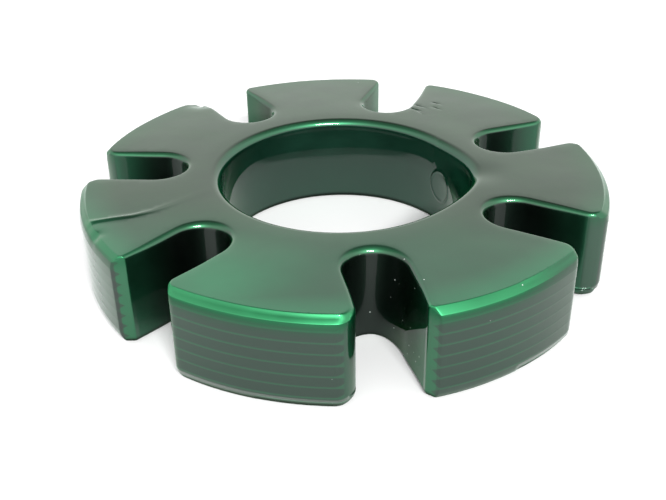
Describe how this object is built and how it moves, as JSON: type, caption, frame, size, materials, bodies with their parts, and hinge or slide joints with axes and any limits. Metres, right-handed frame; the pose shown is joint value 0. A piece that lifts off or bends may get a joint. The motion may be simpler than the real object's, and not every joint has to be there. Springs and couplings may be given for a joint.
{
  "type": "jaw coupling spider",
  "caption": "Elastomer spider of a jaw coupling: flat round moulding with a centre bore, open jaw slots and wedge pads with finely ridged outer faces.",
  "frame": {"origin": "centre of the bore at mid-thickness", "axes": "+Z along the bore axis; one slot lies on -Y"},
  "size_m": [0.12, 0.1194, 0.0216],
  "materials": {
    "polyurethane": "glossy cast polyurethane, dark green"
  },
  "bodies": {
    "root": {"centre_ring": "polyurethane", "pad_1": "polyurethane", "pad_2": "polyurethane", "pad_3": "polyurethane", "pad_4": "polyurethane", "pad_5": "polyurethane", "pad_6": "polyurethane", "pad_7": "polyurethane"}
  },
  "joints": []
}
